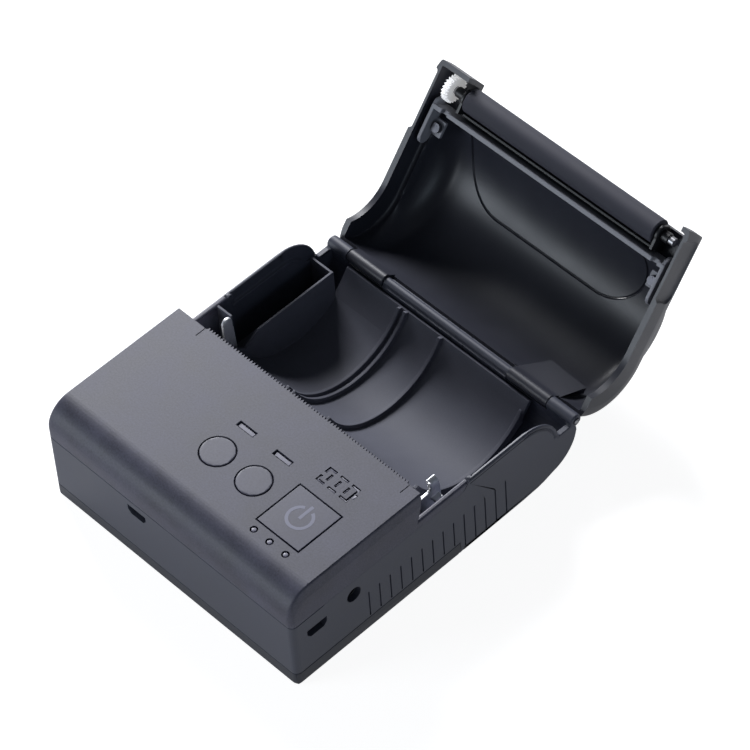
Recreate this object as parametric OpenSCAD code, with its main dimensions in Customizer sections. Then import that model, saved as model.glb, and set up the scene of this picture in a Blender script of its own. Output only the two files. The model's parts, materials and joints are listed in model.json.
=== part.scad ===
// Portable 80 mm receipt printer with its paper cover open.
// Inside from_front(), y = 0 is the front face, +y runs to the hinge and z = 0 is the resting face.

/* [Body] */
// Outside width
body_w = 116; // [112:0.5:120]
// Distance from the tear edge to the hinge centre line
bay_l = 69.2; // [68:0.2:72]
// Height of the hinge centre line
hinge_z = 20.1; // [19.6:0.1:20.6]
// Height of the flat top panel
top_z = 44.7; // [44:0.1:46]
// Height of the seam between the main and the upper housing
seam_z = 30.5; // [29.5:0.1:31]
// Height of the side rims beside the paper bay
rim_z = 33.6; // [33:0.1:34.4]
// Height of the bottom cover's side band
base_seam_z = 6.3; // [5.5:0.1:7]
// Distance from the tear edge to the bottom cover's rear edge
base_past = 14.7; // [13.5:0.1:16]
// Distance from the front face to the tear edge
panel_l = 59.2; // [58:0.1:60]
// Thickness of the housing walls
wall = 2.2; // [2:0.1:2.4]
// Thickness of the floors
floor_t = 1.6; // [1.4:0.1:1.8]
// Radius of the front top edge
front_fillet = 10; // [8:0.5:11]
// Radius of the upright front corners
corner_r = 2.3; // [1.5:0.1:3]
// Chamfer along the bottom edges
base_chamfer = 1.4; // [1:0.1:1.6]

/* [Cover] */
// Angle between the closed and the open cover
open_angle = 128.3; // [110:0.5:129]
// Thickness of the cover's skin
cover_t = 1.8; // [1.6:0.1:2]
// Gap between the closed cover and the housing
cover_gap = 0.4; // [0.3:0.05:0.5]
// Outside radius of the dome over the paper roll
dome_r = 29; // [28.6:0.1:29.2]
// Half width of the dome's full round part
dome_half_w = 45; // [44:0.5:46]
// Length of the pill-shaped inlay
inlay_w = 82; // [76:1:84]
// Depth of the pill-shaped inlay
inlay_d = 36; // [32:1:38]

/* [Hinge] */
// Outside radius of the hinge barrels
barrel_r = 2.4; // [2.2:0.05:2.5]
// Radius of the hinge pin
pin_r = 1; // [0.8:0.05:1.1]
// Radial clearance of every shaft and pin
running_gap = 0.05; // [0.03:0.01:0.08]

/* [Paper bay] */
// Radius of the rib tops that carry the roll
rib_r = 28; // [27.6:0.1:28.2]
// Height of the ribs above the bowl
rib_h = 1.5; // [1.2:0.1:1.7]
// Thickness of the bowl's skin
bowl_t = 1.4; // [1.2:0.1:1.5]
// Height of the bowl's centre line
bowl_z = 33; // [32.8:0.1:33.4]

/* [Platen] */
// Width of the housing taken by the drive and the bearings beside the rubber
platen_room = 29; // [29:0.5:32]
// Radius of the rubber
platen_r = 4.5; // [4.2:0.1:4.6]
// Radius of the steel shaft
shaft_r = 1.5; // [1.2:0.1:1.7]
// Module of the gear teeth
gear_module = 0.4; // [0.39:0.005:0.41]

/* [Buttons] */
// Radius of the two round buttons
round_button_r = 6; // [5.5:0.1:6.3]
// Side of the square power button
power_button_w = 19; // [18:0.1:19.4]
// Gap around every button
button_gap = 0.3; // [0.2:0.05:0.4]
// Travel of every button
button_travel = 0.4; // [0.3:0.05:0.45]

/* [Sockets] */
// Radius of the charging socket's hole
dc_r = 3; // [2.6:0.1:3.3]
// Length of the USB slot
usb_l = 8.6; // [8:0.1:9.4]
// Height of the USB slot
usb_h = 3.9; // [3.5:0.1:4.3]

/* [Hidden] */
$fn = 64;

eps = 0.01;
seat = 0.1;
hinge_y = panel_l + bay_l;
base_l = panel_l + base_past;
platen_l = body_w - platen_room;
half_w = body_w / 2;
inner_w = half_w - wall;
front_y = -(hinge_y + barrel_r) / 2;
step_r = norm([hinge_y - panel_l, top_z - hinge_z]);
rear_r = 13.8;
rear_y = hinge_y - rear_r - 0.1;
rear_z = hinge_z - 2.5;
shelf_z = hinge_z - 0.6;
arch_r = 15.5;
arch_y = hinge_y - 23.6;
arch_z = rim_z - arch_r;
rail_y = base_l + 2.6;
panel_t = 2;
panel_under = top_z - panel_t;
edge_drop = 4.4;
edge_lean = 1;

bowl_y = hinge_y - 29.7;
bowl_r = rib_r + rib_h;
bowl_left = -half_w + 12.8;
bowl_right = half_w - 19.5;
rib_x = [-20.2, -17.3, -0.8];
rib_t = 1.2;
bucket_top = hinge_z + 2.9;
bucket_t = 0.9;
pocket_rear = hinge_y - 12;

cover_r = step_r - cover_gap;
cover_top = top_z - 0.4;
cover_rear_r = 19.1;
cover_rear_y = hinge_y - cover_rear_r - 0.7;
cover_rear_z = cover_top - cover_rear_r;
cover_foot_z = hinge_z + 2.8;
dome_y = bowl_y;
dome_z = 28.5;
dome_end_w = inner_w - 0.2;
dome_end_r = cover_top - dome_z;
tooth_x0 = -half_w + 14.7;
lip_left = tooth_x0 - 0.5;
lip_right = half_w - 4;
rear_run = 24.4;
lip_cut_y = panel_l + 3.3;
knuckles = [[-half_w + 9.6, -31.3], [27.6, half_w - 11.9]];
knuckle_gap = 0.3;
barrels = [[-half_w, knuckles[0][0] - knuckle_gap],
    [knuckles[0][1] + knuckle_gap, knuckles[1][0] - knuckle_gap],
    [knuckles[1][1] + knuckle_gap, half_w]];

platen_x = 1.3;
platen_y = panel_l + 5.2;
platen_z = top_z - 6.7;
platen_x0 = platen_x - platen_l / 2;
platen_x1 = platen_x + platen_l / 2;
plate_t = 1.2;
plate_out = half_w - 8;
plate_in = plate_out - plate_t;
left_out = -half_w + 9.4;
left_in = left_out + plate_t;
gear_x0 = left_out - 3.2;
gear_x1 = left_out - 0.6;
platen_teeth = 24;
transfer_teeth = 20;
idler_teeth = 24;
pinion_teeth = 12;
backlash = 0.06;

switch_z = panel_under - 4.7;
board_t = 1.6;
key_board_z = switch_z - board_t;
main_board_z = hinge_z - 1.2;

mode_at = [-2.9, 26.5];
feed_at = [14.3, 26.3];
power_at = [35.7, 25.9];
charge_at = [-2.85, 39.35];
error_at = [14.25, 39.15];
window_w = 7.4;
window_d = 2.1;
dot_y = 12.9;
dots_x = [28.5, 35.7, 43];
dc_y = 26.8;
dc_z = 23.9;
usb_y = 10.5;
usb_z = 22.4;
front_x = -15.1;
front_z = 25.8;

// ---------- helpers ----------
module from_front()
    translate([0, front_y, 0])
        children();

// Places a piece that is drawn in the closed cover's position
module opened()
    from_front()
        translate([0, hinge_y, hinge_z])
            rotate([-open_angle, 0, 0])
                translate([0, -hinge_y, -hinge_z])
                    children();

// Extrudes an outline of (y, z) points along x
module across(x0, x1)
    translate([x0, 0, 0])
        rotate([90, 0, 90])
            linear_extrude(x1 - x0)
                children();

module block(x0, x1, y0, y1, z0, z1)
    translate([x0, y0, z0])
        cube([x1 - x0, y1 - y0, z1 - z0]);

// Cylinder along x
module rod(r, x0, x1, y, z)
    translate([x0, y, z])
        rotate([0, 90, 0])
            cylinder(r = r, h = x1 - x0);

// Upright cylinder
module post(r, x, y, z0, z1)
    translate([x, y, z0])
        cylinder(r = r, h = z1 - z0);

function arc(y, z, r, a0, a1, n) =
    [for (i = [0:n]) [y + r * cos(a0 + (a1 - a0) * i / n), z + r * sin(a0 + (a1 - a0) * i / n)]];

// Depth at which a circle of radius r about the hinge reaches the height z, on the front side
function front_of(r, z) = hinge_y - sqrt(r * r - pow(z - hinge_z, 2));
function angle_of(r, z) = 180 - asin((z - hinge_z) / r);

module rounded_plan(half, y0, y1, r, z0, z1)
    translate([0, 0, z0])
        linear_extrude(z1 - z0)
            polygon(concat(
                arc(-half + r, y0 + r, r, 180, 270, 5),
                arc(half - r, y0 + r, r, 270, 360, 5),
                [[half, y1], [-half, y1]]));

// ---------- housing ----------
rear_arc_start = -80;
function rear_bottom(inset) = concat(
    [[hinge_y - rear_run, inset]],
    arc(rear_y, rear_z, rear_r - inset, rear_arc_start, 0, 12));

function main_outline() = concat(
    [[0, base_seam_z], [base_l, base_seam_z], [base_l, 0]],
    rear_bottom(0),
    [[hinge_y - 0.1, shelf_z]],
    arc(arch_y, arch_z, arch_r, asin((shelf_z - arch_z) / arch_r), 90, 10),
    [[rail_y + 3, rim_z], [rail_y, seam_z], [0, seam_z]]);

function main_cavity() = concat(
    [[wall, -1], [base_l - 1, -1], [base_l - 1, floor_t], [hinge_y - rear_run, floor_t]],
    arc(rear_y, rear_z, rear_r - floor_t - 0.2, rear_arc_start, 0, 12),
    [[rear_y + rear_r - floor_t - 0.2, rim_z + 9], [wall, rim_z + 9]]);

groove_pitch = 4.78;
groove_count = 14;
groove_y = 33;
groove_w = 0.6;
groove_d = 0.5;
groove_top = 19.2;
module grip_grooves()
    for (side = [-1, 1], i = [0:groove_count - 1]) {
        y = groove_y + i * groove_pitch;
        low = y > base_l ? 3 : base_seam_z + 0.8;
        block(side * half_w - groove_d, side * half_w + groove_d, y - groove_w / 2, y + groove_w / 2,
            low, groove_top);
    }

module knuckle_room()
    for (k = knuckles)
        rod(barrel_r + cover_gap, k[0] - seat, k[1] + seat, hinge_y, hinge_z);

module usb_opening()
    translate([inner_w - 8, usb_y, usb_z])
        rotate([90, 0, 90])
            linear_extrude(wall + 9)
                polygon([[-usb_l / 2, usb_h / 2], [-usb_l / 2, -0.3], [-usb_l / 2 + 1.4, -usb_h / 2],
                    [usb_l / 2 - 1.4, -usb_h / 2], [usb_l / 2, -0.3], [usb_l / 2, usb_h / 2]]);

front_slot_w = 8.6;
front_slot_h = 3.8;
module front_opening(depth)
    translate([front_x, wall + depth, front_z])
        rotate([90, 0, 0])
            linear_extrude(wall + depth + 1)
                polygon([[-front_slot_w / 2, front_slot_h / 2], [-front_slot_w / 2, -0.3],
                    [-front_slot_w / 2 + 1.4, -front_slot_h / 2], [front_slot_w / 2 - 1.4, -front_slot_h / 2],
                    [front_slot_w / 2, -0.3], [front_slot_w / 2, front_slot_h / 2]]);

screw_x = inner_w - 2.8;
screw_at = [[-screw_x, 8.5], [screw_x, 8.5], [-screw_x, base_l - 5.5], [screw_x, base_l - 5.5]];
boss_top = main_board_z - board_t - seat;
boss_r = 2.6;
screw_r = 1.1;
// Line below the lip that runs along the side rims, and the thinner wall inside it
rim_lip = 1.3;
rim_line = 0.35;
rim_thin = 0.8;
rim_band = 5;
function below_rim(d) = concat(
    arc(arch_y, arch_z, arch_r - d, 10, 90, 10),
    [[rail_y + 3, rim_z - d]]);
module rim_details()
    for (side = [0, 1])
        mirror([side, 0, 0]) {
            across(half_w - rim_line, half_w + 1)
                polygon(concat(
                    below_rim(rim_lip),
                    [[rail_y + 3, rim_z - rim_lip - rim_line]],
                    arc(arch_y, arch_z, arch_r - rim_lip - rim_line, 90, 10, 10)));
            across(inner_w - 1, inner_w + rim_thin)
                polygon(concat(
                    [[rail_y + 5, rim_z + 1], [rail_y + 5, rim_z - rim_band]],
                    arc(arch_y, arch_z, arch_r - rim_band, 90, 20, 8),
                    [[arch_y + arch_r + 2, hinge_z + 1.6], [arch_y + arch_r + 2, rim_z + 1]]));
        }

split_x = [-15.1, -4.2, 1.5, 7.4];
split_w = 0.3;
split_r = 2.1;
module hinge_splits()
    for (x = split_x)
        difference() {
            rod(barrel_r + 1, x, x + split_w, hinge_y, hinge_z);
            rod(split_r, x - 1, x + split_w + 1, hinge_y, hinge_z);
        }

module barrel_bodies()
    for (b = barrels) {
        rod(barrel_r, b[0], b[1], hinge_y, hinge_z);
        block(b[0], b[1], hinge_y - 2.1, hinge_y - 0.1, hinge_z - 4.5, hinge_z - 0.6);
    }

module screw_bosses()
    for (s = screw_at)
        difference() {
            union() {
                post(boss_r, s[0], s[1], base_seam_z + 1, boss_top);
                block(s[0] > 0 ? s[0] : -inner_w - 0.5, s[0] > 0 ? inner_w + 0.5 : s[0],
                    s[1] - 0.7, s[1] + 0.7, base_seam_z + 1, boss_top);
            }
            post(screw_r - 0.2, s[0], s[1], base_seam_z, base_seam_z + 9);
        }

module main_housing()
    color("#34363c")
        from_front() {
            difference() {
                union() {
                    difference() {
                        intersection() {
                            across(-half_w, half_w)
                                polygon(main_outline());
                            rounded_plan(half_w, 0, hinge_y + barrel_r, corner_r, 0, rim_z + 1);
                            bottom_taper();
                        }
                        across(-inner_w, inner_w)
                            polygon(main_cavity());
                        grip_grooves();
                        knuckle_room();
                        rim_details();
                        usb_opening();
                        front_opening(1);
                        rod(dc_r, inner_w - 1, half_w + 1, dc_y, dc_z);
                    }
                    barrel_bodies();
                }
                rod(pin_r + running_gap, -half_w - 1, half_w + 1, hinge_y, hinge_z);
                hinge_splits();
            }
            screw_bosses();
        }

// Limits the width near the resting face, which gives the bottom edges their chamfer
module bottom_taper()
    translate([0, hinge_y + barrel_r, 0])
        rotate([90, 0, 0])
            linear_extrude(hinge_y + barrel_r)
                polygon([[-half_w + base_chamfer, 0], [half_w - base_chamfer, 0], [half_w, base_chamfer],
                    [half_w, top_z], [-half_w, top_z], [-half_w, base_chamfer]]);

function panel_outline(inset) = concat(
    [[inset, seam_z]],
    arc(front_fillet, top_z - front_fillet, front_fillet - inset, 180, 90, 10),
    arc(hinge_y, hinge_z, step_r + inset * 0.7, angle_of(step_r, top_z - inset), angle_of(step_r, rim_z), 6));

tooth_pitch = 1.27;
tooth_count = floor((half_w - 7.3 - tooth_x0) / tooth_pitch);
tooth_d = 1.2;
module tear_teeth()
    translate([0, 0, top_z - 1.2])
        linear_extrude(1.2)
            polygon(concat(
                [for (i = [0:tooth_count * 2]) [tooth_x0 + i * tooth_pitch / 2, panel_l + (i % 2) * tooth_d]],
                [[tooth_x0 + tooth_count * tooth_pitch, panel_l - 1], [tooth_x0, panel_l - 1]]));

// Battery gauge: centre lines of its strokes as [x0, x1, y0, y1]
gauge_x0 = 28.4;
gauge_x1 = 41.6;
gauge_y0 = 40.85;
gauge_y1 = 46.7;
gauge_dash = 2.6;
gauge_bars = [31, 34.8, 38.7];
stroke_half = 0.4;
gauge_mid = (gauge_x0 + gauge_x1) / 2;
function gauge_strokes() = concat(
    [[gauge_x0, gauge_x0, gauge_y1 - 1.7, gauge_y1],
        [gauge_x0, gauge_x0, gauge_y0, gauge_y0 + 1.7],
        [gauge_x1, gauge_x1, gauge_y0, gauge_y1],
        [gauge_x1, gauge_x1 + 0.9, 43.2, 44.4]],
    [for (y = [gauge_y0, gauge_y1], x = [gauge_x0, gauge_mid - gauge_dash / 2, gauge_x1 - gauge_dash])
        [x, x + gauge_dash, y, y]],
    [for (x = gauge_bars) [x, x, 42.9, 44.8]]);
module gauge_bodies(grow, z0, z1)
    for (s = gauge_strokes())
        block(s[0] - stroke_half - grow, s[1] + stroke_half + grow, s[2] - stroke_half - grow,
            s[3] + stroke_half + grow, z0, z1);

module top_openings() {
    for (at = [mode_at, feed_at])
        post(round_button_r + button_gap, at[0], at[1], panel_under - 1, top_z + 1);
    half = power_button_w / 2 + button_gap;
    block(power_at[0] - half, power_at[0] + half, power_at[1] - half, power_at[1] + half,
        panel_under - 1, top_z + 1);
    for (at = [charge_at, error_at])
        block(at[0] - window_w / 2 - seat, at[0] + window_w / 2 + seat, at[1] - window_d / 2 - seat,
            at[1] + window_d / 2 + seat, panel_under - 1, top_z + 1);
    for (x = dots_x)
        post(1.4, x, dot_y, panel_under - 1, top_z + 1);
    gauge_bodies(seat, panel_under - 1, top_z + 1);
}

// Limits the width near the top, which leaves a slanted strip along both side edges
module edge_strips(z0, z1)
    translate([0, hinge_y, 0])
        rotate([90, 0, 0])
            linear_extrude(hinge_y)
                polygon([[-half_w, z0], [half_w, z0], [half_w, top_z - edge_drop],
                    [half_w - edge_lean, top_z],
                    [half_w - edge_lean, z1], [-half_w + edge_lean, z1], [-half_w + edge_lean, top_z],
                    [-half_w, top_z - edge_drop]]);

key_posts = [[-16, 9], [-16, 49], [51.5, 9], [51.5, 51]];
module upper_housing()
    color("#3b3d44")
        from_front() {
            difference() {
                intersection() {
                    across(-half_w, half_w)
                        polygon(concat(panel_outline(0),
                            [[rail_y + 3 - seat, rim_z], [rail_y - seat, seam_z]]));
                    rounded_plan(half_w, 0, hinge_y, corner_r, seam_z, top_z);
                    edge_strips(seam_z, top_z + 1);
                }
                across(-inner_w, inner_w)
                    polygon(concat(
                        [[wall, seam_z - 1]],
                        arc(front_fillet, top_z - front_fillet, front_fillet - panel_t, 180, 90, 10),
                        [[front_of(step_r, top_z) - 1.2, panel_under],
                            [front_of(step_r, rim_z) - 1.6, seam_z + 2],
                            [rail_y + 5, seam_z + 2], [rail_y + 5, seam_z - 1]]));
                block(-inner_w, inner_w, front_of(step_r, rim_z) - 2, rail_y + 5, seam_z - 1, rim_z + 1);
                block(-inner_w + 3, inner_w - 3, panel_l - 12, panel_l + 4, seam_z - 1, panel_under);
                top_openings();
            }
            tear_teeth();
            for (p = key_posts)
                post(2, p[0], p[1], key_board_z + board_t, panel_under + 0.5);
        }

door_x = 34;
door_y0 = 8;
door_y1 = panel_l - 13.2;
module bottom_cover()
    color("#2f3136")
        from_front() {
            difference() {
                intersection() {
                    rounded_plan(half_w, 0, base_l - seat, corner_r, 0, base_seam_z);
                    bottom_taper();
                    across(-half_w, half_w)
                        polygon([[base_chamfer, 0], [base_l, 0], [base_l, base_seam_z], [0, base_seam_z],
                            [0, base_chamfer]]);
                }
                block(-inner_w, inner_w, wall, base_l - wall, floor_t, base_seam_z + 1);
                block(-door_x, door_x, door_y0, door_y1, -1, floor_t + 1);
                for (s = screw_at)
                    post(screw_r + 0.3, s[0], s[1], -1, floor_t + 1);
                for (f = feet_at)
                    post(foot_r + seat, f[0], f[1], -1, foot_t);
                grip_grooves();
            }
            for (s = screw_at)
                difference() {
                    post(boss_r, s[0], s[1], floor_t - eps, base_seam_z + 1);
                    post(screw_r + 0.3, s[0], s[1], floor_t - 1, base_seam_z + 2);
                }
        }

latch_w = 12;
module battery_door()
    color("#2a2c31")
        from_front()
            union() {
                block(-door_x + 0.2, door_x - 0.2, door_y0 + 0.2, door_y1 - 0.2, 0, floor_t);
                for (x = [-door_x / 2, door_x / 2])
                    block(x - latch_w / 2, x + latch_w / 2, door_y1 - 3, door_y1 + 2.5, floor_t, floor_t + 1);
                block(-latch_w / 2, latch_w / 2, door_y0 - 2.5, door_y0 + 3, floor_t, floor_t + 1);
            }

foot_r = 4;
foot_t = 0.8;
feet_at = [for (x = [-half_w + 18, half_w - 18], y = [5.6 + foot_r, base_l - 12]) [x, y]];
module rubber_feet()
    color("#1c1d20")
        from_front()
            for (f = feet_at)
                post(foot_r, f[0], f[1], 0, foot_t);

module housing_screws()
    color("silver")
        from_front()
            for (s = screw_at) {
                post(screw_r - 0.25, s[0], s[1], floor_t + 0.5, base_seam_z + 8);
                post(screw_r + 0.2, s[0], s[1], 0.4, floor_t + 0.6);
            }

// ---------- paper bay ----------
bowl_a0 = -159;
bowl_a1 = -29;
module bowl_sector(r_in, r_out, x0, x1)
    across(x0, x1)
        polygon(concat(
            arc(bowl_y, bowl_z, r_out, bowl_a0, bowl_a1, 30),
            arc(bowl_y, bowl_z, r_in, bowl_a1, bowl_a0, 30)));

module paper_bowl()
    color("#3f4148")
        from_front() {
            bowl_sector(bowl_r, bowl_r + bowl_t, bowl_left - bowl_t, bowl_right + bowl_t);
            for (x = rib_x)
                bowl_sector(rib_r, bowl_r + 0.2, x - rib_t / 2, x + rib_t / 2);
            difference() {
                across(bowl_right, bowl_right + bowl_t)
                    polygon(concat(
                        [[hinge_y - 6, hinge_z], [bowl_y + 23.5, floor_t + 9.4], [bowl_y + 17, floor_t + 5],
                            [bowl_y + 5, floor_t + 0.1], [bowl_y - 22, floor_t + 0.1],
                            [bowl_y - 28.4, hinge_z]],
                        arc(bowl_y, bowl_z, rib_r, -154, bowl_a1, 30)));
                block(bowl_right - 1, bowl_right + 3, hinge_y - 7, hinge_y, 0, hinge_z + 5);
            }
            across(bowl_left - bucket_t, bowl_left)
                polygon(concat(
                    [[base_l + 2.1, bucket_top - 4.5], [base_l + 8.5, bucket_top], [pocket_rear, bucket_top]],
                    [[pocket_rear, floor_t + 6]],
                    arc(bowl_y, bowl_z, bowl_r + 0.2, -55, bowl_a0, 24)));
            block(-inner_w + seat, bowl_left, pocket_rear, pocket_rear + bucket_t, floor_t + 6, bucket_top);
            block(-inner_w + seat, bowl_left, base_l + 3, pocket_rear + eps, floor_t + 6, floor_t + 7.2);
            block(-inner_w + seat, left_out - 0.4, base_l + 0.3, base_l + 1.1, floor_t + 6, rim_z);
            block(-inner_w + seat, left_out - 0.4, base_l + 0.2, base_l + 4, floor_t + 6, floor_t + 7.2);
            for (x = [-30, 25])
                block(x - 4, x + 4, bowl_y - 5, bowl_y + 5, floor_t, bowl_z - bowl_r);
        }

module hinge_pin()
    color("silver")
        from_front()
            rod(pin_r, -half_w + 0.2, half_w + 0.4, hinge_y, hinge_z);

// ---------- print mechanism ----------
frame_y0 = panel_l - 13;
frame_y1 = panel_l + 10.5;
frame_z = 9;
module mechanism_frame()
    color("#202226")
        from_front() {
            block(left_in + seat, plate_in - seat, frame_y0, frame_y1, frame_z, frame_z + 2);
            block(-32, plate_in - seat, frame_y0, frame_y0 + 2, frame_z, 30);
            block(left_in + seat, plate_in - seat, frame_y1 - 2, frame_y1, frame_z, 15);
            for (x = [left_in + 8.8, plate_in - 8.8])
                block(x - 4, x + 4, frame_y0 + 4, frame_y0 + 12, floor_t, frame_z + 1);
            for (x = [-25, 25])
                rod_y(3, x, frame_y0 + 2, frame_y0 + 4, 27);
        }

module rod_y(r, x, y0, y1, z)
    translate([x, y1, z])
        rotate([90, 0, 0])
            cylinder(r = r, h = y1 - y0);

platen_seat_r = 2.9;
// Rounded tab at the rear of each side plate
horn_r = 1.4;
horn_z = 34.1;
function plate_outline(front) = concat(
    [[front, frame_z], [base_l - 2, frame_z], [base_l + 0.6, 17], [base_l - 0.4, horn_z]],
    arc(base_l - 0.4 - horn_r, horn_z, horn_r, 30, 180, 5),
    [[base_l - 3.6, 33.9], [platen_y + 3.9, 33.9]],
    arc(platen_y, platen_z, platen_seat_r + 0.2, -48, -132, 6),
    [[platen_y - 4, 33], [front + 3, 33], [front, 30]]);

module left_side_plate()
    color("silver")
        from_front()
            difference() {
                across(left_out, left_in)
                    polygon(plate_outline(pinion_y - 11));
                rod(4, left_out - 1, left_in + 1, pinion_y, pinion_z);
            }

module right_side_plate()
    color("silver")
        from_front() {
            across(plate_in, plate_out)
                polygon(plate_outline(frame_y0));
            block(plate_out - eps, plate_out + 2.2, base_l - 4.4, base_l - 1, 26, 27.2);
        }

// Contact line of the heater on the platen, and the tilt of the head plate
head_tilt = 25.5;
head_contact = [platen_y - (platen_r + 0.1) * cos(head_tilt), platen_z - (platen_r + 0.1) * sin(head_tilt)];
head_up = 4;
head_down = 14;
head_t = 3;
function head_point(along, back) =
    [head_contact[0] - along * sin(head_tilt) - back * cos(head_tilt),
        head_contact[1] + along * cos(head_tilt) - back * sin(head_tilt)];
module thermal_head()
    color("#c9c5ba")
        from_front()
            difference() {
                union() {
                    across(platen_x0 + 1, platen_x1 - 1)
                        polygon([head_point(head_up, 0), head_point(-head_down, 0),
                            head_point(-head_down, head_t), head_point(head_up, head_t)]);
                    rod(2, platen_x0 + 1, platen_x1 - 1, head_pivot[0], head_pivot[1]);
                }
                rod(1 + running_gap, platen_x0, platen_x1, head_pivot[0], head_pivot[1]);
            }

head_pivot = head_point(-head_down, head_t / 2);
module head_pivot_pin()
    color("silver")
        from_front()
            rod(1, left_in, plate_in, head_pivot[0], head_pivot[1]);

// Two coils that press the head against the platen
spring_turns = 5;
spring_r = 2;
spring_wire = 0.5;
module head_springs()
    color("silver")
        from_front()
            for (x = [-25, 25]) {
                y0 = frame_y0 + 4 + spring_wire;
                length = head_point(-6, head_t)[0] - y0 - 1.1;
                for (i = [0:spring_turns - 1])
                    translate([x, y0 + i * length / spring_turns, 27])
                        rotate([90, 0, 0])
                            rotate_extrude($fn = 24)
                                translate([spring_r, 0])
                                    circle(r = spring_wire, $fn = 16);
                for (i = [0:spring_turns - 2])
                    translate([x + spring_r, y0 + i * length / spring_turns, 27])
                        rotate([-90, 0, 0])
                            cylinder(r = spring_wire * 0.8, h = length / spring_turns, $fn = 16);
            }

ribbon_t = 0.3;
module head_ribbon()
    color("#b9742c")
        from_front() {
            foot = head_point(-head_down + 2.6, head_t);
            across(platen_x - 20, platen_x + 20)
                polygon([[foot[0] - 0.1, foot[1]], [foot[0] - 6, foot[1] - 4], [frame_y0 + 3.2, foot[1] - 6],
                    [frame_y0 + 3.2, foot[1] - 6 - ribbon_t], [foot[0] - 6, foot[1] - 4 - ribbon_t],
                    [foot[0] - 0.1, foot[1] - ribbon_t]]);
        }

// ---------- drive ----------
platen_pitch_r = gear_module * platen_teeth / 2;
transfer_pitch_r = gear_module * transfer_teeth / 2;
idler_pitch_r = gear_module * idler_teeth / 2;
pinion_pitch_r = gear_module * pinion_teeth / 2;
platen_tip_r = platen_pitch_r + 0.9 * gear_module;
// Direction from one gear centre to the next, in degrees, and the centres that follow
to_transfer = -105.8;
to_idler = 215.1;
to_pinion = 187.3;
function next_centre(from, angle, d) = [from[0] + d * cos(angle), from[1] + d * sin(angle)];
transfer_c = next_centre([platen_y, platen_z], to_transfer, platen_pitch_r + transfer_pitch_r + backlash);
idler_c = next_centre(transfer_c, to_idler, transfer_pitch_r + idler_pitch_r + backlash);
pinion_c = next_centre(idler_c, to_pinion, idler_pitch_r + pinion_pitch_r + backlash);
pinion_y = pinion_c[0];
pinion_z = pinion_c[1];
// Phase of a gear whose tooth gap meets a tooth of the gear before it
function next_phase(phase, angle, n, n_next) =
    angle + 180 - (phase - angle) * n / n_next + 180 / n_next;
platen_phase = 0;
transfer_phase = next_phase(platen_phase, to_transfer, platen_teeth, transfer_teeth);
idler_phase = next_phase(transfer_phase, to_idler, transfer_teeth, idler_teeth);
pinion_phase = next_phase(idler_phase, to_pinion, idler_teeth, pinion_teeth);

// Toothed wheel about the x axis: trapezoid teeth, thinner than half a pitch
module gear(teeth, phase, x0, x1, bore) {
    pitch_r = gear_module * teeth / 2;
    tip_r = pitch_r + gear_module * 0.9;
    root_r = pitch_r - gear_module * 1.2;
    step = 360 / teeth;
    difference() {
        across(x0, x1)
            polygon([for (i = [0:teeth - 1], c = [[-0.33, root_r], [-0.21, pitch_r], [-0.10, tip_r],
                    [0.10, tip_r], [0.21, pitch_r], [0.33, root_r]])
                [c[1] * cos(phase + (i + c[0]) * step), c[1] * sin(phase + (i + c[0]) * step)]]);
        rod(bore, x0 - 1, x1 + 1, 0, 0);
    }
}

post_r = 1;
module placed_gear(centre, teeth, phase)
    translate([0, centre[0], centre[1]])
        gear(teeth, phase, gear_x0, gear_x1, post_r + running_gap);

module stepper_motor()
    color("#8d9096")
        from_front() {
            rod(9.5, left_in + seat, left_in + 14.4, pinion_y, pinion_z);
            rod(2.4, left_out - 0.3, left_in + 1, pinion_y, pinion_z);
            for (a = [0, 180])
                translate([0, pinion_y, pinion_z])
                    rotate([a, 0, 0])
                        block(left_in + seat, left_in + 1.2, -3, 3, -12, -8);
        }

module motor_pinion()
    color("#d8c37a")
        from_front() {
            translate([0, pinion_y, pinion_z])
                gear(pinion_teeth, pinion_phase, gear_x0, gear_x1, 0.8);
            rod(0.8, gear_x0 - 0.6, left_out - 0.35, pinion_y, pinion_z);
        }

module idler_gear()
    color("white")
        from_front()
            placed_gear(idler_c, idler_teeth, idler_phase);

module transfer_gear()
    color("white")
        from_front()
            placed_gear(transfer_c, transfer_teeth, transfer_phase);

module gear_posts()
    color("silver")
        from_front()
            for (c = [idler_c, transfer_c]) {
                rod(post_r, gear_x0 - 0.9, left_out, c[0], c[1]);
                rod(post_r + 0.7, gear_x0 - 0.9, gear_x0 - 0.15, c[0], c[1]);
                rod(post_r + 0.7, gear_x1 + 0.15, left_out, c[0], c[1]);
            }

module paper_sensor()
    color("#17181b")
        from_front()
            block(platen_x - 4, platen_x + 4, frame_y1 - 5, frame_y1, 15, 18.5);

// ---------- electronics ----------
module main_board()
    color("#1f5a38")
        from_front()
            block(left_in, inner_w - 3.4, wall + 0.8, panel_l - 27.5, main_board_z - board_t, main_board_z);

module wireless_module()
    color("silver")
        from_front() {
            block(-30, -12, 12, 24, main_board_z, main_board_z + 1);
            block(-28.5, -17, 13, 23, main_board_z + 1, main_board_z + 2.8);
        }

module buzzer()
    color("#151618")
        from_front()
            difference() {
                post(5, 6, 18, main_board_z, main_board_z + 5.5);
                post(1, 6, 18, main_board_z + 4, main_board_z + 6);
            }

module battery_pack()
    color("#3c62a3")
        from_front()
            block(-door_x + 1.5, door_x - 1.5, door_y0 + 0.6, door_y1 - 2, floor_t + 1.1,
                main_board_z - board_t - 0.3);

module usb_socket()
    color("silver")
        from_front()
            difference() {
                block(inner_w - 10, inner_w - seat, usb_y - usb_l / 2 - 0.6, usb_y + usb_l / 2 + 0.6,
                    main_board_z, usb_z + usb_h / 2 + 0.6);
                usb_opening();
            }

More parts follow.
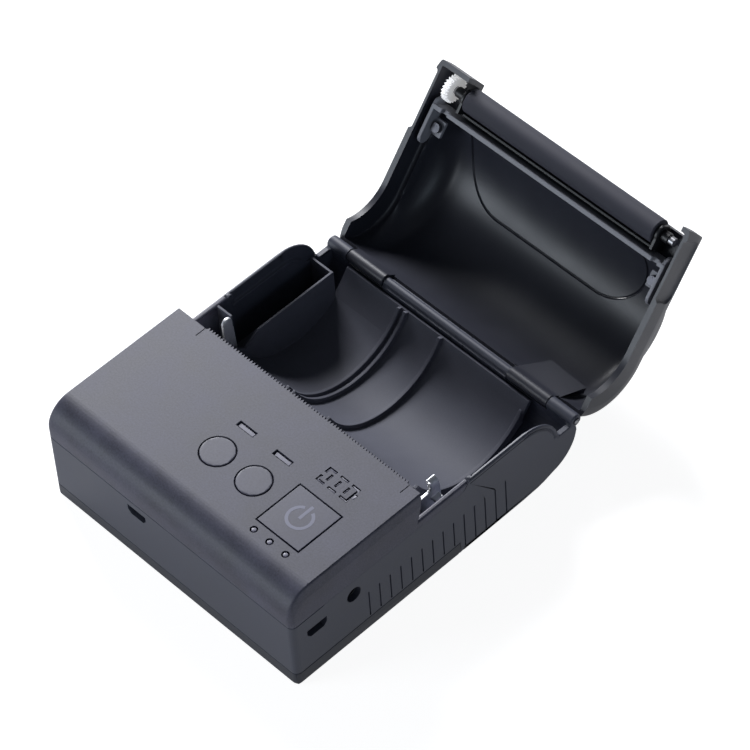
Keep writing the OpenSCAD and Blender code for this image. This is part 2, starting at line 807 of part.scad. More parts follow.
module dc_socket()
    color("#17181b")
        from_front() {
            difference() {
                block(inner_w - 12, inner_w - seat, dc_y - 4.6, dc_y + 4.6, main_board_z, dc_z + 4.6);
                rod(dc_r - 0.2, inner_w - 9, inner_w + 1, dc_y, dc_z);
            }
            rod(0.7, inner_w - 9.5, inner_w - 3, dc_y, dc_z);
        }

module front_socket()
    color("silver")
        from_front()
            difference() {
                block(front_x - front_slot_w / 2 - 0.5, front_x + front_slot_w / 2 + 0.5,
                    wall + seat, wall + 6, main_board_z, front_z + front_slot_h / 2 + 0.5);
                front_opening(5);
            }

module key_board()
    color("#1f5a38")
        from_front()
            block(-18.5, inner_w - 1.8, 6.5, panel_l - 6, key_board_z, key_board_z + board_t);

plunger_z = panel_under - 1.9;
module tact_switches()
    color("#202226")
        from_front()
            for (at = [mode_at, feed_at, power_at]) {
                block(at[0] - 3, at[0] + 3, at[1] - 3, at[1] + 3, switch_z, switch_z + 1.9);
                post(1.6, at[0], at[1], switch_z + 1.8, plunger_z);
            }

module indicator_leds()
    color("#d9d4b8")
        from_front() {
            for (at = [charge_at, error_at])
                block(at[0] - 1.2, at[0] + 1.2, at[1] - 0.8, at[1] + 0.8, switch_z, switch_z + 0.8);
            for (x = dots_x)
                block(x - 0.8, x + 0.8, dot_y - 0.6, dot_y + 0.6, switch_z, switch_z + 0.8);
            block(gauge_x0 - 1, gauge_x1 + 1.6, gauge_y0 - 1, gauge_y1 + 1, switch_z, switch_z + 2.1);
        }

module status_windows()
    color("#c7c9cf")
        from_front()
            for (at = [charge_at, error_at])
                block(at[0] - window_w / 2, at[0] + window_w / 2, at[1] - window_d / 2, at[1] + window_d / 2,
                    switch_z + 1, top_z + 0.05);

module dot_lights()
    color("#c7c9cf")
        from_front()
            for (x = dots_x) {
                post(1, x, dot_y, panel_under - 0.6, top_z - 0.5);
                post(2.2, x, dot_y, switch_z + 1, panel_under - 0.5);
            }

module battery_gauge()
    color("#aeb1b9")
        from_front()
            gauge_bodies(0, switch_z + 2.2, top_z - 0.15);

cap_proud = 0.35;
module button_skirt(at, r)
    post(r, at[0], at[1], panel_under - 0.8, panel_under - 0.2);

module round_button(at)
    color("#41434a")
        from_front() {
            post(round_button_r, at[0], at[1], panel_under - 0.5, top_z + cap_proud);
            button_skirt(at, round_button_r + 0.9);
            post(2, at[0], at[1], plunger_z + button_travel + 0.1, panel_under - 0.4);
        }

module mode_button()
    round_button(mode_at);

module feed_button()
    round_button(feed_at);

module power_button()
    color("#41434a")
        from_front() {
            half = power_button_w / 2;
            block(power_at[0] - half, power_at[0] + half, power_at[1] - half, power_at[1] + half,
                panel_under - 0.5, top_z + cap_proud);
            block(power_at[0] - half - 0.8, power_at[0] + half + 0.8, power_at[1] - half, power_at[1] + half,
                panel_under - 0.8, panel_under - 0.2);
            post(2, power_at[0], power_at[1], plunger_z + button_travel + 0.1, panel_under - 0.4);
        }

// ---------- cover, drawn closed ----------
function cover_outline() = concat(
    arc(hinge_y, hinge_z, cover_r, angle_of(cover_r, rim_z + 0.3), angle_of(cover_r, cover_top), 5),
    arc(cover_rear_y, cover_rear_z, cover_rear_r, 90, 0, 12),
    [[hinge_y - 0.7, cover_foot_z]],
    arc(arch_y, arch_z, arch_r + 0.3, asin((cover_foot_z - arch_z) / (arch_r + 0.3)), 90, 10));

function cover_cavity() = concat(
    [[front_of(cover_r - cover_t, rim_z), hinge_z]],
    arc(hinge_y, hinge_z, cover_r - cover_t, angle_of(cover_r - cover_t, rim_z),
        angle_of(cover_r - cover_t, cover_top - cover_t), 5),
    arc(cover_rear_y, cover_rear_z, cover_rear_r - cover_t, 90, 0, 12),
    [[cover_rear_y + cover_rear_r - cover_t, hinge_z]]);

// Round dome whose ends close along a quarter ellipse
dome_steps = 7;
function dome_profile(inset) = [for (i = [0:dome_steps])
    [dome_end_r + (dome_r - dome_end_r - inset) * cos(90 * i / dome_steps),
        dome_half_w + (dome_end_w - dome_half_w - inset) * sin(90 * i / dome_steps)]];
module dome(inset, low_z)
    intersection() {
        translate([0, dome_y, dome_z])
            rotate([0, 90, 0])
                rotate_extrude()
                    polygon(concat(
                        [[0, -dome_end_w + inset]],
                        [for (i = [dome_steps:-1:0]) [dome_profile(inset)[i][0], -dome_profile(inset)[i][1]]],
                        dome_profile(inset),
                        [[0, dome_end_w - inset]]));
        block(-half_w, half_w, bowl_y - 40, bowl_y + 40, low_z, top_z + 30);
    }

module pill(grow, z0, z1)
    translate([0, panel_l + 5.4 + inlay_d / 2, z0])
        linear_extrude(z1 - z0)
            union() {
                for (side = [-1, 1])
                    translate([side * (inlay_w - inlay_d) / 2, 0])
                        circle(r = inlay_d / 2 + grow);
                square([inlay_w - inlay_d, inlay_d + 2 * grow], center = true);
            }

module cover_skin()
    difference() {
        intersection() {
            union() {
                across(-half_w, half_w)
                    polygon(cover_outline());
                dome(0, cover_foot_z + 3);
            }
            edge_strips(cover_foot_z - 1, top_z + 20);
        }
        across(-inner_w, inner_w)
            polygon(cover_cavity());
        dome(cover_t, hinge_z);
        rod(platen_r + 0.4, left_out - 0.3, lip_right - 1.2, platen_y, platen_z);
        rod(platen_tip_r + 0.4, gear_x0 - 0.4, gear_x1 + 0.4, platen_y, platen_z);
    }

recess_depth = 1.2;
recess_r = 4;
recess_rear = panel_l + 24.8;
module finger_recess()
    for (side = [-1, 1])
        translate([side * half_w, 0, 0])
            rotate([90, 0, 90])
                linear_extrude(2 * recess_depth, center = true)
                    polygon(concat(
                        [[panel_l + 1.6, rim_z - 1], [recess_rear - 1, rim_z - 1]],
                        arc(recess_rear - recess_r, rim_z + 1.2 + recess_r, recess_r, -30, 90, 6),
                        arc(panel_l + 4.4, rim_z + 6.2, 3, 90, 180, 4)));

// Flat pads that carry the hinge knuckles: a chord across the rear bend, trimmed to outlines of (x, z) points
pad_lean = 15;
pad_l = 12.6;
pad_foot = [hinge_y - 1.4, cover_foot_z - 0.9];
pad_edges = [[[knuckles[0][0], cover_foot_z - 1], [knuckles[0][0], cover_foot_z + 5],
        [knuckles[0][1] + 1.2, cover_foot_z + 11.3], [knuckles[0][1], cover_foot_z - 1]],
    [[knuckles[1][0] - 1.2, cover_foot_z - 1], [knuckles[1][0] + 4, cover_foot_z + 11],
        [knuckles[1][1] + 2.6, cover_foot_z + 10.2], [knuckles[1][1], cover_foot_z - 1]]];
module hinge_pads()
    intersection() {
        across(-inner_w, inner_w)
            polygon(concat(
                [pad_foot, pad_foot + pad_l * [-sin(pad_lean), cos(pad_lean)]],
                arc(cover_rear_y, cover_rear_z, cover_rear_r - cover_t / 2, 34, 0, 5),
                [[cover_rear_y + cover_rear_r - cover_t / 2, pad_foot[1]]]));
        translate([0, hinge_y, 0])
            rotate([90, 0, 0])
                for (edge = pad_edges)
                    linear_extrude(12)
                        polygon(edge);
    }

module cover_shell()
    color("#2d2f34")
        opened()
            difference() {
                union() {
                    difference() {
                        cover_skin();
                        pill(0.15, platen_z + 3, top_z + 20);
                        block(lip_left, lip_right, panel_l - 4, lip_cut_y, rim_z - 2, top_z + 3);
                        finger_recess();
                    }
                    hinge_pads();
                    for (k = knuckles) {
                        rod(barrel_r, k[0], k[1], hinge_y, hinge_z);
                        block(k[0], k[1], hinge_y - 2.4, hinge_y, hinge_z, cover_foot_z + 1.5);
                    }
                }
                for (k = knuckles)
                    rod(pin_r + running_gap, k[0] - 1, k[1] + 1, hinge_y, hinge_z);
            }

module cover_inlay()
    color("#26282d")
        opened()
            intersection() {
                cover_skin();
                pill(0, platen_z + 3.5, top_z + 20);
            }

holder_y = platen_y + platen_r + 0.9;
arm_x = [platen_x0 - 1.9, platen_x1 + 0.7];
arm_t = 1.2;
holder_top = cover_top - cover_t - seat;
module platen_holder()
    color("#17181b")
        opened()
            difference() {
                union() {
                    block(arm_x[0], arm_x[1] + arm_t, holder_y, holder_y + 1.1, platen_z, holder_top);
                    for (x = arm_x)
                        intersection() {
                            block(x, x + arm_t, platen_y - 3.2, holder_y + 0.5, platen_z - 4.2, holder_top);
                            union() {
                                rod(3.6, x, x + arm_t, platen_y, platen_z);
                                block(x, x + arm_t, platen_y, holder_y + 0.5, platen_z - 3, cover_top);
                            }
                        }
                }
                rod(shaft_r + running_gap, arm_x[0] - 5, arm_x[1] + 9, platen_y, platen_z);
            }

bar_y = panel_l + 12.6;
bar_z = rim_z + 1.4;
bar_t = 1.7;
bar_half = inner_w - 1.9;
leg_t = 1.4;
leg_front = bar_y - 2.6;
leg_rear = bar_y + 15.2;
leg_r = 2.7;
tie_x = half_w - 7.6;
tie_y = panel_l + 20.5;
module crossbar_leg()
    across(bar_half - leg_t, bar_half)
        polygon(concat(
            arc(leg_front + leg_r, bar_z + leg_r, leg_r, 180, 270, 4),
            arc(leg_rear - leg_r, bar_z + leg_r, leg_r, -90, 90, 8),
            arc(leg_front + leg_r, bar_z + leg_r, leg_r, 90, 180, 4)));

module platen_crossbar()
    color("#3a3c41")
        opened()
            difference() {
                union() {
                    block(-bar_half, bar_half, bar_y, bar_y + bar_t, bar_z, holder_top);
                    for (side = [0, 1])
                        mirror([side, 0, 0]) {
                            crossbar_leg();
                            block(tie_x - 2.4, bar_half, tie_y - 3, tie_y + 3, bar_z + 4.2, bar_z + 5.4);
                        }
                }
                for (side = [-1, 1])
                    post(0.9, side * tie_x, tie_y, bar_z, bar_z + 7);
                for (x = [left_out, plate_in])
                    block(x - 0.7, x + plate_t + 0.7, bar_y - 1, bar_y + bar_t + 1, bar_z - 1, bar_z + 1.6);
            }

module crossbar_screws()
    color("silver")
        opened()
            for (side = [-1, 1]) {
                post(1.9, side * tie_x, tie_y, bar_z + 2.6, bar_z + 4.2);
                post(0.8, side * tie_x, tie_y, bar_z + 4.1, bar_z + 6.4);
            }

module platen_bearings()
    color("#25272b")
        opened()
            for (span = [[left_out + 0.1, arm_x[0]], [arm_x[1] + arm_t, plate_out - 0.1]])
                difference() {
                    union() {
                        rod(2.6, span[0], span[1], platen_y, platen_z);
                    }
                    rod(shaft_r + running_gap, span[0] - 1, span[1] + 1, platen_y, platen_z);
                }

module platen_shaft()
    color("silver")
        opened()
            rod(shaft_r, gear_x0 - 0.6, plate_out + 2, platen_y, platen_z);

module platen_rubber()
    color("#4a4c52")
        opened()
            difference() {
                rod(platen_r, platen_x0, platen_x1, platen_y, platen_z);
                rod(shaft_r, platen_x0 - 1, platen_x1 + 1, platen_y, platen_z);
            }

module platen_gear()
    color("white")
        opened()
            translate([0, platen_y, platen_z])
                gear(platen_teeth, platen_phase, gear_x0, gear_x1, shaft_r);

main_housing();
upper_housing();
bottom_cover();
battery_door();
paper_bowl();
mechanism_frame();
left_side_plate();
right_side_plate();
thermal_head();
head_pivot_pin();
head_springs();
head_ribbon();
stepper_motor();
motor_pinion();
idler_gear();
transfer_gear();
gear_posts();
paper_sensor();
main_board();
key_board();
tact_switches();
indicator_leds();
wireless_module();
buzzer();
battery_pack();
usb_socket();
dc_socket();
front_socket();
status_windows();
dot_lights();
battery_gauge();
mode_button();
feed_button();
power_button();
housing_screws();
rubber_feet();
hinge_pin();
cover_shell();
cover_inlay();
platen_holder();
platen_crossbar();
crossbar_screws();
platen_bearings();
platen_shaft();
platen_rubber();
platen_gear();
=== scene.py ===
import json
import math

import bmesh
import bpy
from mathutils import Matrix, Vector
from mathutils.bvhtree import BVHTree


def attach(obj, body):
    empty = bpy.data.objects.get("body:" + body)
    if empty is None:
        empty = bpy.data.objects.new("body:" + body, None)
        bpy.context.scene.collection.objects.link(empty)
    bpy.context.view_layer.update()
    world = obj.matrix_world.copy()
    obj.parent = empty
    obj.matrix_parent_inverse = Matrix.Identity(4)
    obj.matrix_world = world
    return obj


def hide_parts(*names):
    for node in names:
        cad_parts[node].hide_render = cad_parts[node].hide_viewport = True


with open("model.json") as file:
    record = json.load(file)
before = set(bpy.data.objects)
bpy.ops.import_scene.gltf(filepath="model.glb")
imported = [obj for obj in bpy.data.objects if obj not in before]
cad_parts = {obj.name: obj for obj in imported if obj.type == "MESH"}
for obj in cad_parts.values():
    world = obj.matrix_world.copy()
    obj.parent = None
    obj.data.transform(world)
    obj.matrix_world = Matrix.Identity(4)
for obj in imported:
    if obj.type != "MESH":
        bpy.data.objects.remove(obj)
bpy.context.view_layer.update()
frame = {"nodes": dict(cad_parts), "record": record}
nodes = frame["nodes"]

# Lengths are in mm, and y counts from the front face, unless a comment says otherwise.
MM = 0.001          # in the scene's metres
FRONT = 65.4        # from the front face to the part's origin
HINGE_Y, HINGE_Z = 128.4, 20.1
OPEN = 128.3        # degrees by which the cover stands open
NODE_BODY = {n: body for body, names in frame["record"]["behaviour"]["bodies"].items() for n in names}
NODE_SLOT = {s["node"]: s["material_slot"] for s in frame["record"]["subparts"]}


# ---------- places ----------
def at(x, y, z):
    """The scene's point for a place in mm."""
    return Vector((x * MM, (y - FRONT) * MM, z * MM))


HINGE = at(0, HINGE_Y, HINGE_Z)
OPENED = Matrix.Translation(HINGE) @ Matrix.Rotation(math.radians(-OPEN), 4, "X") @ Matrix.Translation(-HINGE)


# ---------- materials ----------
CLOUD_SCALE = 70.0          # noise per metre: faint cloudiness of moulded plastic
BLOTCH_SCALE = 160.0        # uneven gloss of metal
LINE_SCALE = 900.0          # drawn lines of metal
GRAIN_DEPTH, LINE_DEPTH = 0.00004, 0.00002      # metres


def new_material(name):
    mat = bpy.data.materials.new(name)
    mat.use_nodes = True
    nt = mat.node_tree
    return mat, nt, nt.nodes["Principled BSDF"]


def add(nt, kind, **values):
    """A shader node with its sockets or settings set by name."""
    node = nt.nodes.new(kind)
    for key, value in values.items():
        if key in node.inputs:
            node.inputs[key].default_value = value
        else:
            setattr(node, key, value)
    return node


def noise(nt, place, scale, detail, roughness=0.5):
    node = add(nt, "ShaderNodeTexNoise", Scale=scale, Detail=detail, Roughness=roughness)
    nt.links.new(place, node.inputs["Vector"])
    return node.outputs["Fac"]


def mapped(nt, value, low, high, first=0.0, last=1.0):
    """Carries the range from first to last over to the range from low to high."""
    ends = {"From Min": first, "From Max": last, "To Min": low, "To Max": high}
    node = add(nt, "ShaderNodeMapRange", **ends)
    nt.links.new(value, node.inputs["Value"])
    return node.outputs["Result"]


def mean(nt, a, b):
    both = add(nt, "ShaderNodeMath", operation="ADD")
    nt.links.new(a, both.inputs[0])
    nt.links.new(b, both.inputs[1])
    half = add(nt, "ShaderNodeMath", operation="MULTIPLY")
    half.inputs[1].default_value = 0.5
    nt.links.new(both.outputs[0], half.inputs[0])
    return half.outputs[0]


def paint(nt, bsdf, colour, factor):
    """Sets the base colour, made lighter and darker by factor."""
    node = add(nt, "ShaderNodeVectorMath", operation="SCALE")
    node.inputs[0].default_value = colour
    nt.links.new(factor, node.inputs["Scale"])
    nt.links.new(node.outputs["Vector"], bsdf.inputs["Base Color"])


def relief(nt, bsdf, height, strength, depth):
    node = add(nt, "ShaderNodeBump", Strength=strength, Distance=depth)
    nt.links.new(height, node.inputs["Height"])
    nt.links.new(node.outputs["Normal"], bsdf.inputs["Normal"])


def plastic(name, colour, rough, grain=2600.0, bump=0.25, mottle=0.12, spec=0.5, glow=0.0):
    """Moulded plastic: spark-eroded grain, faint cloudiness; glow is painted light, a self-glow that
    brightens a part standing in shade.
    """
    mat, nt, bsdf = new_material(name)
    place = add(nt, "ShaderNodeTexCoord").outputs["Object"]
    fine = noise(nt, place, grain, 3.0, 0.6)
    cloud = noise(nt, place, CLOUD_SCALE, 4.0, 0.55)
    paint(nt, bsdf, colour, mapped(nt, mean(nt, fine, cloud), 1.0 - mottle, 1.0 + mottle, 0.3, 0.7))
    nt.links.new(mapped(nt, cloud, rough - 0.06, rough + 0.06), bsdf.inputs["Roughness"])
    relief(nt, bsdf, fine, bump, GRAIN_DEPTH)
    bsdf.inputs["Specular IOR Level"].default_value = spec
    bsdf.inputs["Emission Color"].default_value = (1, 1, 1, 1)
    bsdf.inputs["Emission Strength"].default_value = glow
    return mat


def metal(name, colour, rough):
    """Plated or ground metal with fine drawn lines along x and slight blotches."""
    mat, nt, bsdf = new_material(name)
    place = add(nt, "ShaderNodeTexCoord").outputs["Object"]
    stretch = add(nt, "ShaderNodeMapping", Scale=(0.08, 1.0, 1.0))
    nt.links.new(place, stretch.inputs["Vector"])
    lines = noise(nt, stretch.outputs["Vector"], LINE_SCALE, 4.0, 0.6)
    blotch = noise(nt, place, BLOTCH_SCALE, 3.0)
    nt.links.new(mapped(nt, blotch, rough * 0.9, rough * 1.15), bsdf.inputs["Roughness"])
    paint(nt, bsdf, colour, mapped(nt, lines, 0.85, 1.1))
    relief(nt, bsdf, lines, 0.1, LINE_DEPTH)
    bsdf.inputs["Metallic"].default_value = 1.0
    return mat


MATERIALS = {
    "housing_plastic": plastic("housing_grain", (0.056, 0.061, 0.086), 0.5),
    "panel_plastic": plastic("panel_grain", (0.056, 0.057, 0.086), 0.52, grain=1500, bump=0.6, mottle=0.5),
    "base_plastic": plastic("base_grain", (0.032, 0.035, 0.049), 0.54),
    "door_plastic": plastic("door_grain", (0.050, 0.052, 0.060), 0.55),
    "bowl_plastic": plastic("bowl_satin", (0.100, 0.104, 0.132), 0.62, bump=0.15, spec=0.3),
    "cover_plastic": plastic("cover_satin", (0.029, 0.031, 0.044), 0.41, bump=0.14, spec=0.65),
    "inlay_plastic": plastic("inlay_smooth", (0.029, 0.031, 0.044), 0.41, bump=0.1, spec=0.65),
    "bar_plastic": plastic("bar_satin", (0.28, 0.285, 0.32), 0.5, bump=0.12),
    "frame_plastic": plastic("frame_black", (0.010, 0.011, 0.013), 0.4, bump=0.1),
    "button_plastic": plastic("button_grain", (0.072, 0.073, 0.107), 0.5, grain=1500, bump=0.4, mottle=0.25),
    "plate_chrome": metal("plated_sheet", (0.88, 0.89, 0.93), 0.48),
    "steel": metal("ground_steel", (0.42, 0.42, 0.44), 0.42),
    "spring_steel": metal("spring_wire", (0.5, 0.5, 0.52), 0.3),
    "screw_steel": metal("zinc_screw", (0.16, 0.16, 0.18), 0.5),
    "shield_steel": metal("tinned_shield", (0.6, 0.6, 0.62), 0.35),
    "socket_steel": metal("nickel_socket", (0.55, 0.55, 0.57), 0.3),
    "motor_steel": metal("motor_can", (0.38, 0.39, 0.41), 0.4),
    "head_aluminium": metal("head_heatsink", (0.58, 0.57, 0.55), 0.38),
    "brass": metal("turned_brass", (0.72, 0.55, 0.27), 0.3),
    "ribbon_film": plastic("amber_film", (0.35, 0.15, 0.035), 0.3, bump=0.05),
    # The gear's glow is painted light: it shines a little by itself so that it stays white in the shade of
    # the cover's side wall.
    "gear_plastic": plastic("white_acetal_painted_glow", (0.95, 0.95, 0.96), 0.45, bump=0.1, mottle=0.02, glow=0.3),
    "circuit_board": plastic("solder_mask", (0.02, 0.11, 0.05), 0.35, bump=0.1),
    "switch_plastic": plastic("moulded_black", (0.02, 0.02, 0.022), 0.45, bump=0.1),
    "led_resin": plastic("led_resin", (0.7, 0.68, 0.55), 0.2, bump=0.02),
    "battery_wrap": plastic("shrink_wrap", (0.04, 0.1, 0.3), 0.3, bump=0.05),
    "window_plastic": plastic("frosted_window", (0.19, 0.19, 0.25), 0.4, bump=0.1, mottle=0.05),
    "platen_rubber": plastic("platen_rubber", (0.040, 0.041, 0.058), 0.75, grain=4200, bump=0.5),
    "symbol_print": plastic("symbol_print", (0.17, 0.175, 0.25), 0.5, bump=0.1, mottle=0.05),
    "foot_rubber": plastic("foot_rubber", (0.02, 0.02, 0.02), 0.8, bump=0.5),
}

for name, obj in nodes.items():
    obj.data.materials.clear()
    obj.data.materials.append(MATERIALS[NODE_SLOT[name]])


# ---------- outlines ----------
def arc(y, z, r, a0, a1, n):
    """Points on a circle, in n steps from the angle a0 to a1 in degrees."""
    return [(y + r * math.cos(math.radians(a0 + (a1 - a0) * i / n)),
             z + r * math.sin(math.radians(a0 + (a1 - a0) * i / n))) for i in range(n + 1)]


def circle(x, y, r, n=64):
    return [(x + r * math.cos(2 * math.pi * i / n), y + r * math.sin(2 * math.pi * i / n)) for i in range(n)]


def rectangle(x0, x1, y0, y1):
    return [(x0, y0), (x1, y0), (x1, y1), (x0, y1)]


def square(x, y, half):
    return rectangle(x - half, x + half, y - half, y + half)


def both_sides(values):
    """The values with their negatives in front, so that they run from left to right."""
    return [-v for v in reversed(values)] + list(values)


# ---------- meshes ----------
ROD_SIDES = 40


def link_object(name, mesh):
    obj = bpy.data.objects.new(name, mesh)
    bpy.context.scene.collection.objects.link(obj)
    return obj


def solid(name, verts, faces, place=None):
    """A closed mesh from points in mm; place is a matrix applied after at()."""
    mesh = bpy.data.meshes.new(name)
    points = [at(*v) for v in verts]
    if place:
        points = [place @ v for v in points]
    mesh.from_pydata(points, [], faces)
    bm = bmesh.new()
    bm.from_mesh(mesh)
    bmesh.ops.remove_doubles(bm, verts=bm.verts, dist=1e-7)
    bmesh.ops.recalc_face_normals(bm, faces=bm.faces)
    bm.to_mesh(mesh)
    bm.free()
    return link_object(name, mesh)


def loft(name, rings, place=None, closed=False):
    """Skins rings of equal length; an open row of rings gets a cap at both ends."""
    n, count = len(rings[0]), len(rings)
    faces = []
    for i in range(count if closed else count - 1):
        j = (i + 1) % count
        for k in range(n):
            m = (k + 1) % n
            faces.append((i * n + k, i * n + m, j * n + m, j * n + k))
    if not closed:
        faces.append(tuple(range(n)))
        faces.append(tuple(range((count - 1) * n, count * n)))
    return solid(name, [v for ring in rings for v in ring], faces, place)


def across(name, outline, x0, x1):
    """Outline of (y, z) points carried from x0 to x1."""
    return loft(name, [[(x, y, z) for y, z in outline] for x in (x0, x1)])


def upright(name, outline, z0, z1, spread=0.0):
    """Outline of (x, y) points carried from z0 to z1 and grown by spread at the top."""
    cx = sum(p[0] for p in outline) / len(outline)
    cy = sum(p[1] for p in outline) / len(outline)
    size = max(math.hypot(x - cx, y - cy) for x, y in outline)
    k = 1 + spread / size
    low = [(x, y, z0) for x, y in outline]
    high = [(cx + (x - cx) * k, cy + (y - cy) * k, z1) for x, y in outline]
    return loft(name, [low, high])


def rod(name, r, x0, x1, y, z, place=None, edge=0.0):
    """Cylinder along x, its end edges cut back by edge."""
    ends = [(x0, r), (x1, r)]
    if edge:
        ends = [(x0, r - edge), (x0 + edge, r), (x1 - edge, r), (x1, r - edge)]
    last = 360 - 360 / ROD_SIDES
    rings = [[(x, py, pz) for py, pz in arc(y, z, radius, 0, last, ROD_SIDES - 1)] for x, radius in ends]
    return loft(name, rings, place)


def tube(name, path, r, n=8, closed=False):
    """Round tube along a row of points, with n sides."""
    points = [Vector(p) for p in path]
    count = len(points)
    rings, side = [], None
    for i, p in enumerate(points):
        before = points[i - 1] if i or closed else p
        after = points[(i + 1) % count] if i < count - 1 or closed else p
        t = (after - before).normalized()
        if side is None:
            side = t.cross(Vector((0.3, 0.5, 0.8))).normalized()
        side = (side - side.dot(t) * t).normalized()
        up = t.cross(side)
        rings.append([tuple(p + r * (math.cos(a) * side + math.sin(a) * up))
                      for a in (2 * math.pi * k / n for k in range(n))])
    return loft(name, rings, closed=closed)


def apply_modifiers(obj):
    bpy.context.view_layer.update()
    depsgraph = bpy.context.evaluated_depsgraph_get()
    mesh = bpy.data.meshes.new_from_object(obj.evaluated_get(depsgraph))
    obj.modifiers.clear()
    old = obj.data
    obj.data = mesh
    bpy.data.meshes.remove(old)


def boolean(obj, kind, *tools):
    """Cuts, joins or meets obj with each tool in turn, and deletes the tools."""
    for tool in tools:
        mod = obj.modifiers.new(kind, "BOOLEAN")
        mod.operation = kind
        mod.solver = "EXACT"
        mod.object = tool
        apply_modifiers(obj)
        bpy.data.objects.remove(tool)
    return obj


def round_edges(obj, width, segments=2, angle=30, where=None):
    """Rounds edges sharper than angle; where(a, b), the edge's ends in mm, gives its share of the width."""
    if where:
        bm = bmesh.new()
        bm.from_mesh(obj.data)
        layer = bm.edges.layers.float.new("bevel_weight_edge")
        limit = math.radians(angle)
        for e in bm.edges:
            if len(e.link_faces) == 2 and e.calc_face_angle(0) > limit:
                a, b = (v.co / MM + Vector((0, FRONT, 0)) for v in e.verts)
                e[layer] = float(where(a, b))
        bm.to_mesh(obj.data)
        bm.free()
    mod = obj.modifiers.new("round", "BEVEL")
    mod.width = width * MM
    mod.segments = segments
    mod.limit_method = "WEIGHT" if where else "ANGLE"
    mod.angle_limit = math.radians(angle)
    mod.use_clamp_overlap = False
    apply_modifiers(obj)
    return obj


def keep_in_box(obj, node):
    """Puts points that a bevel has thrown out back onto the box round the CAD node."""
    corners = [Vector(c) for c in nodes[node].bound_box]
    low, high = ([pick(c[i] for c in corners) for i in range(3)] for pick in (min, max))
    for v in obj.data.vertices:
        v.co = [min(max(v.co[i], low[i]), high[i]) for i in range(3)]


def smooth_by_angle(obj, angle):
    bpy.context.view_layer.objects.active = obj
    for other in bpy.context.selected_objects:
        other.select_set(False)
    obj.select_set(True)
    bpy.ops.object.shade_smooth_by_angle(angle=math.radians(angle))
    obj.select_set(False)


def even_normals(obj, angle, flat):
    """Smooth faces; those square to the axes named in flat (0, 1, 2) stay plane."""
    split = obj.modifiers.new("triangles", "TRIANGULATE")
    split.min_vertices = 5
    split.ngon_method = "BEAUTY"
    weighted = obj.modifiers.new("normals", "WEIGHTED_NORMAL")
    weighted.keep_sharp = True
    smooth_by_angle(obj, angle)
    square_on = 0.99999
    for poly in obj.data.polygons:
        poly.use_smooth = all(abs(poly.normal[i]) < square_on for i in flat)
    apply_modifiers(obj)


# ---------- pieces ----------
def cad_copy(node, name):
    """The CAD node's mesh with its doubled points joined."""
    obj = link_object(name, nodes[node].data.copy())
    bm = bmesh.new()
    bm.from_mesh(obj.data)
    bmesh.ops.remove_doubles(bm, verts=bm.verts, dist=2e-6)
    bm.to_mesh(obj.data)
    bm.free()
    obj.data.materials.clear()
    return obj


def dress(obj, slot, body, material=None):
    """Gives a piece one material, the slot's own unless another is named, and hangs it under its body."""
    obj.data.materials.clear()
    obj.data.materials.append(material or MATERIALS[slot])
    for poly in obj.data.polygons:
        poly.material_index = 0
    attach(obj, body)


def stand_for(obj, node, angle=35, flat=()):
    """Finishes a piece and lets it replace its node."""
    even_normals(obj, angle, flat)
    dress(obj, NODE_SLOT[node], NODE_BODY[node])
    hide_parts(node)


# ---------- side plates ----------
def flat_tab(x0, x1):
    """Upright tab with a round top."""
    y, low, z, r = 71.45, 26, 33.5, 2.05
    return across("tab", [(y - r, low), (y + r, low)] + arc(y, z, r, 0, 180, 20), x0, x1)


def curled_tab(x0, x1):
    """Tab whose top curls over towards the middle of the printer."""
    y0, y1, low, bend, r = 69.9, 73.6, 29, 30.7, 1.9
    turn, steps = 76, 8
    outer_r = r + x1 - x0
    inner, outer = [(x0, low)], [(x1, low)]
    for i in range(steps + 1):
        a = math.radians(turn * i / steps)
        inner.append((x0 - r + r * math.cos(a), bend + r * math.sin(a)))
        outer.append((x0 - r + outer_r * math.cos(a), bend + outer_r * math.sin(a)))
    row = inner + outer[::-1]
    return loft("tab", [[(x, y, z) for x, z in row] for y in (y0, y1)])


def side_plate(node, tab, x0, x1, ledge):
    """Pressed steel plate: the CAD plate without its tab and its saddle above the ledge, and a clean tab."""
    piece = cad_copy(node, node + "_pressed")
    front, step, top, r = 50, 69.4, 38, 1
    tab_front, tab_rear, tab_low = 70, 75, 30.5
    saddle = [(front, ledge)] + arc(step - r, ledge + r, r, -90, 0, 8) + [(step, top), (front, top)]
    old_tab = rectangle(tab_front, tab_rear, tab_low, top)
    boolean(piece, "DIFFERENCE", across("saddle", saddle, x0 - 1, x1 + 1),
            across("old_tab", old_tab, x0 - 1, x1 + 1))
    boolean(piece, "UNION", tab(x0, x1))
    stand_for(round_edges(piece, 0.22, 2, 40), node, 45)


side_plate("left_side_plate", flat_tab, -48.6, -47.4, 24)
side_plate("right_side_plate", curled_tab, 48.8, 50, 29.8)


# ---------- pieces that only need round edges ----------
BEVELS = {
    "battery_door": 0.2, "paper_bowl": 0.15, "mechanism_frame": 0.25, "thermal_head": 0.2,
    "platen_holder": 0.2, "platen_crossbar": 0.25, "platen_shaft": 0.2, "platen_rubber": 0.3,
    "platen_gear": 0.1, "transfer_gear": 0.1, "idler_gear": 0.1, "hinge_pin": 0.2,
    "stepper_motor": 0.3, "usb_socket": 0.1, "dc_socket": 0.15, "front_socket": 0.1,
    "crossbar_screws": 0.15, "housing_screws": 0.1,
}

for node, width in BEVELS.items():
    stand_for(round_edges(cad_copy(node, node + "_moulded"), width), node, 40)


